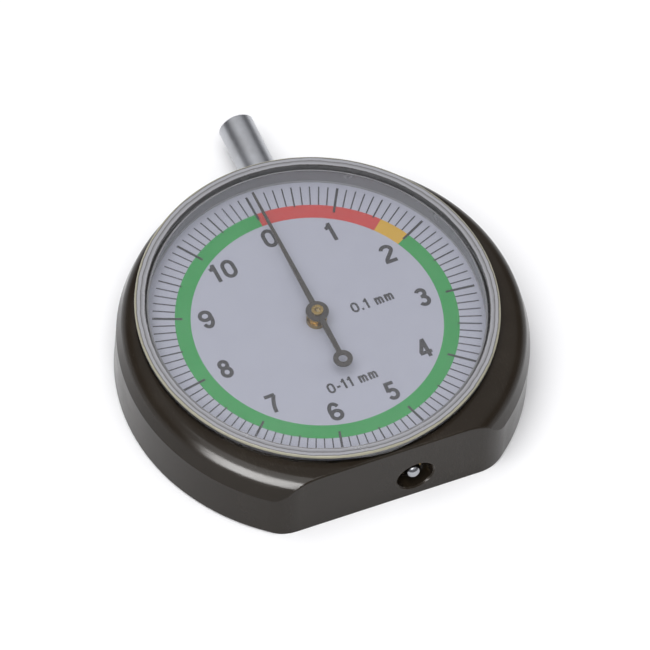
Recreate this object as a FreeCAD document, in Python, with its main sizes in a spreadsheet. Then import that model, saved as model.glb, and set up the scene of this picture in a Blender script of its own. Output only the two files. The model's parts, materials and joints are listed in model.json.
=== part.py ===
import FreeCAD, Part
import math
import os
import re
import Sketcher
from FreeCAD import Placement, Rotation, Vector

# Dial depth gauge for tyre treads, in millimetres, lying on its back.
# Origin: on the back face, under the pointer's axis.  +Z leaves the dial, +Y runs along
# the plunger to its push end, and the flat measuring base faces -Y.
# Pushing the plunger by 11 mm sends the probe 11 mm out of the base; the rack on the
# plunger turns the pinion, and with it the pointer, by one turn.

SIZES = {
    # case
    "case_low": 0.0, "case_height": 11.9, "crease_height": 7.8,
    "wall_radius": 29.35, "top_radius": 28.3,
    "case_x": 0.4, "case_y": -1.8, "base_flat_y": -26.3, "corner_radius": 6.5,
    "shoulder_round": 2.4, "bottom_round": 0.4, "crease_round": 0.3, "cavity_radius": 23.5,
    "web_low": 7.6, "web_top": 8.6, "lens_bore": 25.05, "cover_recess": 25.0,
    "post_radius": 2.2, "post_offset": 14.5, "cover_thick": 1.0, "cover_radius": 24.9,
    "boss_half": 5.2, "base_boss_y": -21.6, "top_boss_y": 20.0, "top_boss_end": 25.0,
    # glazing and dial
    "dial_radius": 24.9, "dial_top": 9.2, "gasket_top": 9.6, "skirt_inner": 24.2,
    "skirt_outer": 25.0, "lens_radius": 26.1, "lens_under": 12.2, "lens_top": 13.4,
    "lens_bevel": 0.3,
    # plunger
    "rod_x": 4.3, "rod_z": 4.4, "rod_radius": 2.6, "rod_low": -5.0, "rod_end": 38.8,
    "rod_chamfer": 0.25, "travel": 11.0, "flat_depth": 2.15, "flat_top": 15.5,
    "probe_radius": 1.2, "probe_tip": -26.15, "dome_radius": 1.1,
    "spigot_radius": 0.8, "spigot_top": -1.0,
    "collar_radius": 2.2, "collar_low": -6.0,
    # rack and pinion: the rack's pitch is pi times the module
    "gear_module": 0.25, "tooth_count": 14, "pitch_radius": 1.75, "pinion_width": 1.8,
    "pinion_dedendum": 0.3125, "rack_pitch": 0.785398,
    "rack_width": 2.0, "rack_addendum": 0.19, "rack_dedendum": 0.31, "rack_back": 3.4,
    "rack_teeth": 22, "rack_start": -3.14, "flank_tangent": 0.364, "half_backlash": 0.035,
    "pin_radius": 0.5, "pin_x": 2.85, "pin_low_y": 1.0, "pin_high_y": 10.0, "pin_half": 2.0,
    # arbor and its bearings
    "arbor_radius": 0.75, "journal_radius": 0.57, "pivot_radius": 0.4, "arbor_low": 1.5,
    "pivot_top": 2.55, "journal_low": 7.4, "arbor_top": 11.4, "run_gap": 0.03,
    "front_bush_radius": 1.45, "nose_radius": 1.15, "nose_low": 9.9, "nose_top": 10.6,
    "plate_low": 1.4, "plate_top": 2.4, "rear_bush_radius": 1.2,
    "plate_left": -12.0, "plate_right": 1.4, "plate_half": 10.0, "plate_corner": 2.0,
    "pillar_radius": 1.5, "pillar_far_x": -9.5, "pillar_far_y": 7.0,
    "pillar_near_x": -1.0, "pillar_near_y": 8.0, "stud_length": 0.7, "tap_depth": 2.6,
    "plate_screw": 0.8, "plate_head": 1.4, "plate_head_height": 0.6,
    "plate_screw_length": 3.4,
    # pointer
    "hub_radius": 0.85, "hub_low": 10.75, "hub_top": 12.0, "hub_hole": 0.4,
    "blade_low": 11.45, "blade_top": 11.7, "disc_radius": 1.66, "tip_reach": 22.2,
    "tip_half": 0.14, "arm_half": 0.42, "tail_reach": 8.8, "tail_half": 0.34,
    "tail_radius": 1.4, "tail_hole": 0.65, "lean": 0.022,
    # guides, stop and spring
    "upper_bush_radius": 3.1, "upper_bush_end": 26.8, "slide_gap": 0.05,
    "lower_bush_radius": 2.2, "lower_bush_end": -24.0, "flange_radius": 3.0,
    "flange_top": -20.8, "base_hole": 2.75, "hole_chamfer": 0.2,
    "ring_radius": 3.0, "ring_low": 18.45, "ring_top": 19.15, "groove_radius": 2.2,
    "groove_gap": 0.02,
    "washer_low": 19.2, "washer_radius": 3.05, "washer_bore": 2.75,
    "guide_pin_radius": 0.75, "guide_pin_y": 8.0, "guide_pin_end": 9.0,
    "rail_x": 7.6, "rail_thick": 0.8, "rail_foot_end": 12.2, "rail_low_y": -6.0,
    "rail_high_y": 11.0, "rail_low": 1.6, "rail_foot_low": 6.8,
    "rail_screw_x": 10.4, "rail_screw_y": 5.5, "rail_screw_mid": 2.5,
    "rail_screw_radius": 0.7, "rail_screw_top": 8.2, "rail_head_radius": 1.3,
    "rail_head_low": 6.0,
    "spring_radius": 1.72, "wire_radius": 0.18, "spring_low": -20.6, "spring_turns": 9,
    "spring_top": -6.2,
    # back cover screws, and the driver slots of all the screws
    "cover_screw": 1.0, "cover_head": 1.9, "cover_head_height": 0.9, "cover_screw_top": 5.2,
    "cross_length": 2.2, "cross_width": 0.4, "cross_depth": 0.4,
    "slot_width": 0.35, "slot_depth": 0.3,
    # how far a tool runs past a face, and how far fused shapes bite into each other
    "overrun": 1.0, "bite": 0.2,
}

TOLERANCE = 1e-4
FLANK_STEPS = 6

ALONG = {
    "X": Rotation(Vector(0, 1, 0), 90),
    "Y": Rotation(Vector(1, 0, 0), -90),
    "Z": Rotation(),
}
PLANE_OF = {"Y": "XY_Plane", "Z": "XZ_Plane"}

doc = FreeCAD.newDocument("depth_gauge")
sheet = doc.addObject("Spreadsheet::Sheet", "Sizes")
for row, (alias, number) in enumerate(SIZES.items(), start=1):
    sheet.set("A%d" % row, alias)
    sheet.set("B%d" % row, str(number))
    sheet.setAlias("B%d" % row, alias)
doc.recompute()

NODES = []


# ---------------------------------------------------------------- helpers

def formula(text):
    """Return an expression in which each size name points at its cell."""
    def cell(match):
        word = match.group()
        return "Sizes." + word if word in SIZES else word
    return re.sub(r"[a-z_]+", cell, str(text))


def size(alias):
    """Return the number that a cell of the sheet holds."""
    return float(sheet.get(alias))


def bind(item, **sizes):
    """Tie properties of an object to expressions over the sheet."""
    for name, text in sizes.items():
        item.setExpression(name, formula(text))
    return item


def move(item, at, along="Z"):
    """Turn an object's +Z along an axis and tie its place to the sheet."""
    item.Placement = Placement(Vector(), ALONG[along])
    for axis, text in zip("xyz", at):
        item.setExpression("Placement.Base." + axis, formula(text))
    return item


def cylinder(name, radius, height, at=(0, 0, 0), along="Z"):
    """Add a cylinder that starts at a point and runs along an axis."""
    item = doc.addObject("Part::Cylinder", name)
    bind(item, Radius=radius, Height=height)
    return move(item, at, along)


def cone(name, low_radius, high_radius, height, at, along="Z"):
    """Add a cone that starts at a point and runs along an axis."""
    item = doc.addObject("Part::Cone", name)
    bind(item, Radius1=low_radius, Radius2=high_radius, Height=height)
    return move(item, at, along)


def box(name, length, width, height, at):
    """Add a box from its low corner."""
    item = doc.addObject("Part::Box", name)
    bind(item, Length=length, Width=width, Height=height)
    return move(item, at)


def joined(name, shapes):
    """Fuse several shapes."""
    item = doc.addObject("Part::MultiFuse", name)
    item.Shapes = shapes
    return item


def shared(name, shapes):
    """Keep what several shapes have in common."""
    item = doc.addObject("Part::MultiCommon", name)
    item.Shapes = shapes
    return item


def cut(name, base, tool):
    """Take one shape away from another."""
    item = doc.addObject("Part::Cut", name)
    item.Base = base
    item.Tool = tool
    return item


def group(name, shapes):
    """Hold identical loose pieces as one node of separate solids."""
    item = doc.addObject("Part::Compound", name)
    item.Links = shapes
    return item


def node(item, label):
    """Register a finished piece under its own name."""
    item.Label = label
    NODES.append(item)
    return item


def new_body(name, at=(0, 0, 0)):
    """Add an empty body whose place is tied to the sheet."""
    return move(doc.addObject("PartDesign::Body", name), at)


def sketch_on(body, name, plane):
    """Add a sketch on one of the body's own origin planes."""
    sketch = body.newObject("Sketcher::SketchObject", name)
    flat = [part for part in body.Origin.OriginFeatures if part.Role == plane][0]
    sketch.AttachmentSupport = [(flat, "")]
    sketch.MapMode = "FlatFace"
    return sketch


def value_of(text):
    """Work out a formula's number, for a first place of a sketch point."""
    return float(sheet.evalExpression(formula(text)))


def pin_point(sketch, geometry, point, place):
    """Fix a sketch point at a pair of formulas measured from the sketch's origin."""
    kinds = (("DistanceX", -2), ("DistanceY", -1))
    for (kind, axis), text in zip(kinds, place):
        number = value_of(text)
        if abs(number) < TOLERANCE:
            sketch.addConstraint(Sketcher.Constraint("PointOnObject", geometry, point, axis))
            continue
        index = sketch.addConstraint(
            Sketcher.Constraint(kind, -1, 1, geometry, point, number))
        sketch.setExpression("Constraints[%d]" % index, formula(text))


def add_polygon(sketch, places):
    """Draw a closed outline through points given as pairs of formulas."""
    spots = [Vector(value_of(x), value_of(y), 0) for x, y in places]
    first = sketch.GeometryCount
    count = len(spots)
    for index, spot in enumerate(spots):
        sketch.addGeometry(Part.LineSegment(spot, spots[(index + 1) % count]), False)
    for index in range(count):
        after = first + (index + 1) % count
        sketch.addConstraint(Sketcher.Constraint("Coincident", first + index, 2, after, 1))
        pin_point(sketch, first + index, 1, places[index])


def add_circle(sketch, radius, centre=(0, 0)):
    """Draw a circle from formulas for its radius and centre."""
    spot = Vector(value_of(centre[0]), value_of(centre[1]), 0)
    index = sketch.addGeometry(Part.Circle(spot, Vector(0, 0, 1), value_of(radius)), False)
    if spot.Length < TOLERANCE:
        sketch.addConstraint(Sketcher.Constraint("Coincident", index, 3, -1, 1))
    else:
        pin_point(sketch, index, 3, centre)
    rim = sketch.addConstraint(Sketcher.Constraint("Radius", index, value_of(radius)))
    sketch.setExpression("Constraints[%d]" % rim, formula(radius))


def pad(body, sketch, length, name):
    """Extrude a sketch upwards."""
    feature = body.newObject("PartDesign::Pad", name)
    feature.Profile = sketch
    bind(feature, Length=length)
    return feature


def revolve(body, sketch, name):
    """Turn a sketch round its own vertical axis."""
    feature = body.newObject("PartDesign::Revolution", name)
    feature.Profile = sketch
    feature.ReferenceAxis = (sketch, ["V_Axis"])
    feature.Angle = 360.0
    return feature


def turned(name, places, at=(0, 0, 0), along="Z"):
    """Make a lathe-turned body from (radius, height along the axis) formulas."""
    body = new_body(name, at)
    sketch = sketch_on(body, name + "_profile", PLANE_OF[along])
    add_polygon(sketch, places)
    revolve(body, sketch, name + "_turning")
    return body


def rounded(body, chosen, radius, name):
    """Fillet the edges of a body's tip that a test picks."""
    doc.recompute()
    tip = body.Tip
    names = ["Edge%d" % (index + 1) for index, edge in enumerate(tip.Shape.Edges) if chosen(edge)]
    feature = body.newObject("PartDesign::Fillet", name)
    feature.Base = (tip, names)
    bind(feature, Radius=radius)
    return feature


def is_rim(edge, alias):
    """Tell a round edge at the height that a cell holds from the others."""
    level = abs(edge.CenterOfMass.z - size(alias)) < TOLERANCE
    return isinstance(edge.Curve, Part.Circle) and level


# ---------------------------------------------------------------- case

def case_puck():
    """Round blank: upright wall, steep shoulder above the crease, flat top."""
    body = turned("puck", [
        (0, "case_low"), ("wall_radius", "case_low"), ("wall_radius", "crease_height"),
        ("top_radius", "case_height"), (0, "case_height")], ("case_x", "case_y", 0))
    rounded(body, lambda edge: is_rim(edge, "case_height"), "shoulder_round", "shoulder_blend")
    rounded(body, lambda edge: is_rim(edge, "case_low"), "bottom_round", "bottom_blend")
    return body


def soften(name, base, chosen, radius):
    """Fillet the edges of a loose shape that a test picks, and what runs on from them."""
    doc.recompute()
    item = doc.addObject("Part::Fillet", name)
    item.Base = base
    item.Edges = [(index, size(radius), size(radius))
                  for index, edge in enumerate(base.Shape.Edges, start=1) if chosen(edge)]
    return item


def on_base_flat(edge):
    """Tell a straight edge in the plane of the measuring base from the others."""
    straight = isinstance(edge.Curve, Part.Line)
    return straight and abs(edge.CenterOfMass.y - size("base_flat_y")) < TOLERANCE


def case_outline():
    """Upright prism: round outline with the flat base and its two soft corners."""
    reach = "wall_radius + overrun"
    disc = cylinder("outline_disc", "wall_radius", "case_height", ("case_x", "case_y", 0))
    front = box("outline_front", "2 * (%s)" % reach, "2 * (%s)" % reach, "case_height",
                ("case_x - (%s)" % reach, "base_flat_y", 0))
    blank = shared("outline_blank", [disc, front])
    return soften("outline", blank, lambda edge: on_base_flat(edge)
                  and abs(edge.BoundBox.ZLength - size("case_height")) < TOLERANCE,
                  "corner_radius")


def case_blank():
    """Puck cut to the outline, with the crease and the base's upper rim slightly rounded."""
    meet = shared("case_meet", [case_puck(), case_outline()])
    return soften("case_outer", meet, lambda edge: on_base_flat(edge)
                  and abs(edge.CenterOfMass.z - size("case_height")) < TOLERANCE,
                  "crease_round")


def cover_screw_spots():
    """Four corners of a square about the pointer's axis."""
    return [("%s * post_offset" % a, "%s * post_offset" % b) for a in (1, -1) for b in (1, -1)]


def make_case():
    """Moulded case: web under the dial, screw posts, and bosses for both guides."""
    shell = case_blank()
    hollows = joined("case_hollows", [
        cylinder("lens_pocket", "lens_bore", "case_height - web_top", (0, 0, "web_top")),
        cylinder("cavity", "cavity_radius", "web_low - cover_thick", (0, 0, "cover_thick")),
        cylinder("cover_pocket", "cover_recess", "cover_thick")])
    inner_height = "web_low - cover_thick + bite"
    posts = [cylinder("post_%d" % k, "post_radius", inner_height, (x, y, "cover_thick"))
             for k, (x, y) in enumerate(cover_screw_spots())]
    bosses = [
        box("base_boss", "2 * boss_half", "base_boss_y - base_flat_y - overrun", inner_height,
            ("rod_x - boss_half", "base_flat_y + overrun", "cover_thick")),
        box("top_boss", "2 * boss_half", "top_boss_end - top_boss_y", inner_height,
            ("rod_x - boss_half", "top_boss_y", "cover_thick"))]
    solid = joined("case_solid", [cut("case_shell", shell, hollows)] + posts + bosses)
    holes = [
        cylinder("base_counterbore", "base_hole", "lower_bush_end - base_flat_y + overrun",
                 ("rod_x", "base_flat_y - overrun", "rod_z"), "Y"),
        cone("base_mouth", "base_hole + hole_chamfer", "base_hole", "hole_chamfer",
             ("rod_x", "base_flat_y", "rod_z"), "Y"),
        cylinder("base_bush_hole", "lower_bush_radius", "base_boss_y - lower_bush_end + overrun",
                 ("rod_x", "lower_bush_end", "rod_z"), "Y"),
        cylinder("top_bush_hole", "upper_bush_radius", "wall_radius - top_boss_y + overrun",
                 ("rod_x", "top_boss_y - overrun", "rod_z"), "Y"),
        cylinder("front_bush_hole", "front_bush_radius", "web_top - web_low + 2 * bite",
                 (0, 0, "web_low - bite"))]
    for k, (x, y) in enumerate(cover_screw_spots()):
        holes.append(cylinder("cover_screw_hole_%d" % k, "cover_screw",
                              "cover_screw_top", (x, y, "bite")))
    for k, (x, y) in enumerate(pillar_spots()):
        holes.append(cylinder("stud_hole_%d" % k, "plate_screw", "stud_length + bite",
                              (x, y, "web_low - bite")))
    for k, y in enumerate(rail_screw_ys()):
        holes.append(cylinder("rail_hole_%d" % k, "rail_screw_radius",
                              "rail_screw_top - web_low + bite",
                              ("rail_screw_x", y, "web_low - bite")))
    node(cut("case", solid, joined("case_holes", holes)), "case_body")


def make_back_cover():
    """Inset disc that closes the back, with four countersunk screw holes."""
    disc = cylinder("cover_disc", "cover_radius", "cover_thick")
    sinks = []
    for k, (x, y) in enumerate(cover_screw_spots()):
        sinks.append(cone("cover_sink_%d" % k, "cover_head", "cover_screw",
                          "cover_head_height", (x, y, 0)))
        sinks.append(cylinder("cover_clear_%d" % k, "cover_screw", "cover_thick", (x, y, 0)))
    node(cut("cover", disc, joined("cover_sinks", sinks)), "back_cover")


def driver_slot(name, length, width, depth, centre):
    """Add the cutter of a driver slot that opens downwards at a point."""
    x, y, z = centre
    return box(name, length, width, depth + " + bite",
               ("%s - (%s) / 2" % (x, length), "%s - (%s) / 2" % (y, width), "%s - bite" % z))


def make_cover_screws():
    """Four countersunk screws with a cross slot, flush with the back."""
    screws = []
    for k, (x, y) in enumerate(cover_screw_spots()):
        head = cone("cover_screw_head_%d" % k, "cover_head", "cover_screw",
                    "cover_head_height", (x, y, 0))
        shank = cylinder("cover_screw_shank_%d" % k, "cover_screw", "cover_screw_top", (x, y, 0))
        slots = [driver_slot("cover_slot_%s_%d" % (way, k), long, wide, "cross_depth", (x, y, 0))
                 for way, long, wide in (("x", "cross_length", "cross_width"),
                                         ("y", "cross_width", "cross_length"))]
        blank = joined("cover_screw_blank_%d" % k, [head, shank])
        screws.append(cut("cover_screw_%d" % k, blank, joined("cover_slots_%d" % k, slots)))
    node(group("cover_screws", screws), "back_cover_screws")


# ---------------------------------------------------------------- dial and lens

def make_dial():
    """Printed dial disc on the web, with a hole for the bearing's nose."""
    body = new_body("dial", (0, 0, "web_top"))
    sketch = sketch_on(body, "dial_outline", "XY_Plane")
    add_circle(sketch, "dial_radius")
    add_circle(sketch, "front_bush_radius + run_gap")
    pad(body, sketch, "dial_top - web_top", "dial_pad")
    node(body, "dial_plate")


def make_gasket():
    """Flat ring between the dial's edge and the lens skirt."""
    node(turned("gasket", [
        ("skirt_inner", "dial_top"), ("dial_radius", "dial_top"),
        ("dial_radius", "gasket_top"), ("skirt_inner", "gasket_top")]), "lens_gasket")


def make_lens():
    """Clear cup: flat window, bevelled flange on the case top, skirt in the bore."""
    node(turned("lens", [
        ("skirt_inner", "gasket_top"), ("skirt_outer", "gasket_top"),
        ("skirt_outer", "case_height"), ("lens_radius", "case_height"),
        ("lens_radius", "lens_top - lens_bevel"), ("lens_radius - lens_bevel", "lens_top"),
        (0, "lens_top"), (0, "lens_under"), ("skirt_inner", "lens_under")]), "lens")


# ---------------------------------------------------------------- arbor, pinion, bearings

def make_arbor():
    """Stepped steel arbor: rear pivot, body, long front journal."""
    node(turned("arbor_turned", [
        (0, "arbor_low"), ("pivot_radius", "arbor_low"), ("pivot_radius", "pivot_top"),
        ("arbor_radius", "pivot_top"), ("arbor_radius", "journal_low"),
        ("journal_radius", "journal_low"), ("journal_radius", "arbor_top"),
        (0, "arbor_top")]), "arbor")


def involute_flank(base_radius, tip_radius, half_angle, side):
    """Return points of one tooth flank, from the base circle to the tip."""
    points = []
    for step in range(FLANK_STEPS + 1):
        radius = base_radius + (tip_radius - base_radius) * step / FLANK_STEPS
        roll = math.sqrt((radius / base_radius) ** 2 - 1)
        angle = side * (half_angle - (roll - math.atan(roll)))
        points.append(Vector(radius * math.cos(angle), radius * math.sin(angle), 0))
    return points


def make_pinion():
    """Fourteen-tooth involute pinion, with a tooth space facing the rack at rest."""
    pitch = size("pitch_radius")
    count = int(size("tooth_count"))
    module = size("gear_module")
    pressure = math.atan(size("flank_tangent"))
    base_radius = pitch * math.cos(pressure)
    tip_radius = pitch + module
    root_radius = pitch - size("pinion_dedendum")
    involute = math.tan(pressure) - pressure
    half_angle = (math.pi * module / 2 - size("half_backlash")) / 2 / pitch + involute
    gear = Part.makeCylinder(root_radius, size("pinion_width"))
    for index in range(count):
        upper = involute_flank(base_radius, tip_radius, half_angle, 1)
        lower = involute_flank(base_radius, tip_radius, half_angle, -1)
        inner = root_radius - size("bite")
        feet = [Vector(inner * math.cos(side * half_angle), inner * math.sin(side * half_angle), 0)
                for side in (1, -1)]
        curves = []
        for points in (upper, lower):
            curve = Part.BSplineCurve()
            curve.interpolate(points)
            curves.append(curve.toShape())
        crown = Part.Arc(upper[-1], Vector(tip_radius, 0, 0), lower[-1]).toShape()
        edges = [Part.LineSegment(feet[0], upper[0]).toShape(), curves[0], crown, curves[1],
                 Part.LineSegment(lower[0], feet[1]).toShape(),
                 Part.LineSegment(feet[1], feet[0]).toShape()]
        tooth = Part.Face(Part.Wire(Part.__sortEdges__(edges)))
        tooth = tooth.extrude(Vector(0, 0, size("pinion_width")))
        tooth.rotate(Vector(), Vector(0, 0, 1), (index + 0.5) * 360.0 / count)
        gear = gear.fuse(tooth)
    bore = Part.makeCylinder(size("arbor_radius"), size("pinion_width"))
    item = doc.addObject("Part::Feature", "pinion_teeth")
    item.Shape = gear.cut(bore).removeSplitter()
    move(item, (0, 0, "rod_z - pinion_width / 2"))
    node(item, "pinion")


def make_bearings():
    """Stepped brass bush whose nose shows on the dial, and a plain one in the plate."""
    bore = "journal_radius + run_gap"
    node(turned("front_bush", [
        (bore, "web_low"), ("front_bush_radius", "web_low"), ("front_bush_radius", "nose_low"),
        ("nose_radius", "nose_low"), ("nose_radius", "nose_top"), (bore, "nose_top")]),
        "front_bearing_bush")
    bore = "pivot_radius + run_gap"
    node(turned("rear_bush", [
        (bore, "plate_low"), ("rear_bush_radius", "plate_low"),
        ("rear_bush_radius", "plate_top"), (bore, "plate_top")]), "rear_bearing_bush")


def pillar_spots():
    """Places of the four pillars that carry the bearing plate."""
    return [("pillar_far_x", "pillar_far_y"), ("pillar_far_x", "-pillar_far_y"),
            ("pillar_near_x", "pillar_near_y"), ("pillar_near_x", "-pillar_near_y")]


def make_bearing_plate():
    """Brass plate behind the arbor, with countersunk holes over its pillars."""
    body = new_body("plate", (0, 0, "plate_low"))
    sketch = sketch_on(body, "plate_outline", "XY_Plane")
    add_polygon(sketch, [
        ("plate_left", "-plate_half + plate_corner"), ("plate_left + plate_corner", "-plate_half"),
        ("plate_right", "-plate_half"), ("plate_right", "plate_half"),
        ("plate_left + plate_corner", "plate_half"), ("plate_left", "plate_half - plate_corner")])
    add_circle(sketch, "rear_bush_radius")
    pad(body, sketch, "plate_top - plate_low", "plate_pad")
    sinks = []
    for k, (x, y) in enumerate(pillar_spots()):
        sinks.append(cone("plate_sink_%d" % k, "plate_head", "plate_screw",
                          "plate_head_height", (x, y, "plate_low")))
        sinks.append(cylinder("plate_clear_%d" % k, "plate_screw", "plate_top - plate_low",
                              (x, y, "plate_low")))
    node(cut("bearing_plate_cut", body, joined("plate_sinks", sinks)), "bearing_plate")


def make_pillars():
    """Four pillars with studs in the web and tapped rear ends."""
    pillars = []
    for k, (x, y) in enumerate(pillar_spots()):
        post = cylinder("pillar_post_%d" % k, "pillar_radius", "web_low - plate_top",
                        (x, y, "plate_top"))
        stud = cylinder("pillar_stud_%d" % k, "plate_screw", "stud_length", (x, y, "web_low"))
        tapped = cylinder("pillar_tap_%d" % k, "plate_screw", "tap_depth", (x, y, "plate_top"))
        pillars.append(cut("pillar_%d" % k, joined("pillar_blank_%d" % k, [post, stud]), tapped))
    node(group("pillars", pillars), "plate_pillars")


def make_plate_screws():
    """Four slotted countersunk screws that hold the plate on its pillars."""
    screws = []
    for k, (x, y) in enumerate(pillar_spots()):
        head = cone("plate_screw_head_%d" % k, "plate_head", "plate_screw",
                    "plate_head_height", (x, y, "plate_low"))
        shank = cylinder("plate_screw_shank_%d" % k, "plate_screw", "plate_screw_length",
                         (x, y, "plate_low"))
        slot = driver_slot("plate_slot_%d" % k, "2 * (plate_head + bite)", "slot_width",
                           "slot_depth", (x, y, "plate_low"))
        blank = joined("plate_screw_blank_%d" % k, [head, shank])
        screws.append(cut("plate_screw_%d" % k, blank, slot))
    node(group("plate_screw_group", screws), "plate_screws")


# ---------------------------------------------------------------- pointer

def make_pointer():
    """Flat pointer: centre disc, tapering arm to the scale, tail with a ring."""
    thick = "blade_top - blade_low"
    tip_x, tail_x = "-lean * tip_reach", "lean * tail_reach"
    body = new_body("arm", (0, 0, "blade_low"))
    sketch = sketch_on(body, "arm_outline", "XY_Plane")
    add_polygon(sketch, [
        ("arm_half", 0), (tip_x + " + tip_half", "tip_reach"),
        (tip_x + " - tip_half", "tip_reach"), ("-arm_half", 0),
        (tail_x + " - tail_half", "-tail_reach"), (tail_x + " + tail_half", "-tail_reach")])
    pad(body, sketch, thick, "arm_pad")
    disc = cylinder("pointer_disc", "disc_radius", thick, (0, 0, "blade_low"))
    ring = cylinder("tail_disc", "tail_radius", thick, (tail_x, "-tail_reach", "blade_low"))
    through = thick + " + 2 * overrun"
    holes = joined("pointer_holes", [
        cylinder("pointer_eye", "hub_radius", through, (0, 0, "blade_low - overrun")),
        cylinder("tail_eye", "tail_hole", through,
                 (tail_x, "-tail_reach", "blade_low - overrun"))])
    blank = joined("pointer_blank", [body, disc, ring])
    node(cut("pointer_cut", blank, holes), "pointer")


def make_pointer_hub():
    """Brass collar pressed on the arbor, with a small hole in its face."""
    node(turned("hub", [
        ("journal_radius", "hub_low"), ("hub_radius", "hub_low"), ("hub_radius", "hub_top"),
        ("hub_hole", "hub_top"), ("hub_hole", "arbor_top"), ("journal_radius", "arbor_top")]),
        "pointer_hub")


# ---------------------------------------------------------------- plunger

def rack_pins(name, radius):
    """Two cross pins through rod and rack, used as pieces and as holes."""
    return [cylinder("%s_%d" % (name, k), radius, "2 * pin_half",
                     ("pin_x", y, "rod_z - pin_half"))
            for k, y in enumerate(("pin_low_y", "pin_high_y"))]


def make_rod():
    """Steel plunger: push end with a small chamfer, flat and slot for the rack."""
    body = turned("rod_turned", [
        (0, "spigot_top"), ("spigot_radius", "spigot_top"), ("spigot_radius", "rod_low"),
        ("rod_radius", "rod_low"), ("rod_radius", "ring_low - groove_gap"),
        ("groove_radius", "ring_low - groove_gap"), ("groove_radius", "ring_top + groove_gap"),
        ("rod_radius", "ring_top + groove_gap"), ("rod_radius", "rod_end - rod_chamfer"),
        ("rod_radius - rod_chamfer", "rod_end"), (0, "rod_end")],
        ("rod_x", 0, "rod_z"), "Y")
    flat = box("rod_flat", "rod_radius", "flat_top - rod_low", "2 * rod_radius",
               ("rod_x - flat_depth - rod_radius", "rod_low", "rod_z - rod_radius"))
    slot = box("rack_slot", "rack_back", "rack_teeth * rack_pitch", "rack_width",
               (0, "rack_start", "rod_z - rack_width / 2"))
    pin_hole = cylinder("guide_pin_hole", "guide_pin_radius", "rod_radius + overrun",
                        ("rod_x", "guide_pin_y", "rod_z"), "X")
    tools = joined("rod_tools", [flat, slot, pin_hole] + rack_pins("rod_pin_hole", "pin_radius"))
    node(cut("rod", body, tools), "plunger_rod")


def make_rack():
    """Rack bar let into the plunger: a blank bar with its tooth spaces cut in a row."""
    body = new_body("bar", (0, 0, "rod_z - rack_width / 2"))
    outline = sketch_on(body, "bar_outline", "XY_Plane")
    tip = "pitch_radius - rack_addendum"
    root = "pitch_radius + rack_dedendum"
    end = "rack_start + rack_teeth * rack_pitch"
    add_polygon(outline, [(tip, "rack_start"), ("rack_back", "rack_start"),
                          ("rack_back", end), (tip, end)])
    pad(body, outline, "rack_width", "bar_pad")
    space = sketch_on(body, "tooth_space", "XY_Plane")
    middle = "rack_start + rack_pitch / 2"
    mouth = "(rack_pitch / 4 + half_backlash / 2 + rack_addendum * flank_tangent)"
    floor = "(rack_pitch / 4 + half_backlash / 2 - rack_dedendum * flank_tangent)"
    add_polygon(space, [
        (tip, "%s - %s" % (middle, mouth)), (root, "%s - %s" % (middle, floor)),
        (root, "%s + %s" % (middle, floor)), (tip, "%s + %s" % (middle, mouth))])
    pocket = body.newObject("PartDesign::Pocket", "tooth_pocket")
    pocket.Profile = space
    pocket.Type = "ThroughAll"
    pocket.Midplane = True
    doc.recompute()
    row = body.newObject("PartDesign::LinearPattern", "tooth_row")
    row.Originals = [pocket]
    row.Direction = (outline, ["V_Axis"])
    bind(row, Length="(rack_teeth - 1) * rack_pitch", Occurrences="rack_teeth")
    body.Tip = row
    doc.recompute()
    pins = joined("rack_pin_holes", rack_pins("rack_pin_hole", "pin_radius"))
    node(cut("rack", body, pins), "rack_bar")


def make_rack_pins():
    """Two steel cross pins."""
    node(group("rack_pin_pair", rack_pins("rack_pin", "pin_radius")), "rack_pins")


def make_probe():
    """Steel probe with a spigot in the rod and a domed tip."""
    body = turned("probe_turned", [
        (0, "probe_tip"), ("probe_radius", "probe_tip"), ("probe_radius", "rod_low"),
        ("spigot_radius", "rod_low"), ("spigot_radius", "spigot_top"), (0, "spigot_top")],
        ("rod_x", 0, "rod_z"), "Y")
    rounded(body, lambda edge: isinstance(edge.Curve, Part.Circle)
            and abs(edge.Curve.Center.y - size("probe_tip")) < TOLERANCE,
            "dome_radius", "tip_dome")
    node(body, "probe")


def ring_on_rod(name, inner, outer, low, high):
    """Make a plain ring round the plunger's axis."""
    return turned(name, [(inner, low), (outer, low), (outer, high), (inner, high)],
                  ("rod_x", 0, "rod_z"), "Y")


def make_plunger_rings():
    """Spring collar, retaining ring and the washer that the ring stops against."""
    node(ring_on_rod("collar", "probe_radius", "collar_radius", "collar_low", "rod_low"),
         "spring_collar")
    node(ring_on_rod("circlip", "groove_radius", "ring_radius", "ring_low", "ring_top"),
         "retaining_ring")
    node(ring_on_rod("washer", "washer_bore", "washer_radius", "washer_low", "top_boss_y"),
         "buffer_washer")


def make_guide_bushes():
    """Upper bush for the rod, and flanged lower bush for the probe."""
    node(ring_on_rod("upper_bush", "rod_radius + slide_gap", "upper_bush_radius",
                     "top_boss_y", "upper_bush_end"), "upper_guide_bush")
    bore = "probe_radius + slide_gap"
    node(turned("lower_bush", [
        (bore, "lower_bush_end"), ("lower_bush_radius", "lower_bush_end"),
        ("lower_bush_radius", "base_boss_y"), ("flange_radius", "base_boss_y"),
        ("flange_radius", "flange_top"), (bore, "flange_top")],
        ("rod_x", 0, "rod_z"), "Y"), "lower_guide_bush")


def make_guide_pin():
    """Pin in the rod that runs in the rail and keeps the rod from turning."""
    node(cylinder("guide_pin_rod", "guide_pin_radius", "guide_pin_end - rod_x",
                  ("rod_x", "guide_pin_y", "rod_z"), "X"), "guide_pin")


def rail_screw_ys():
    """Places of the two rail screws along the rail."""
    return ["rail_screw_mid - rail_screw_y", "rail_screw_mid + rail_screw_y"]


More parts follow.
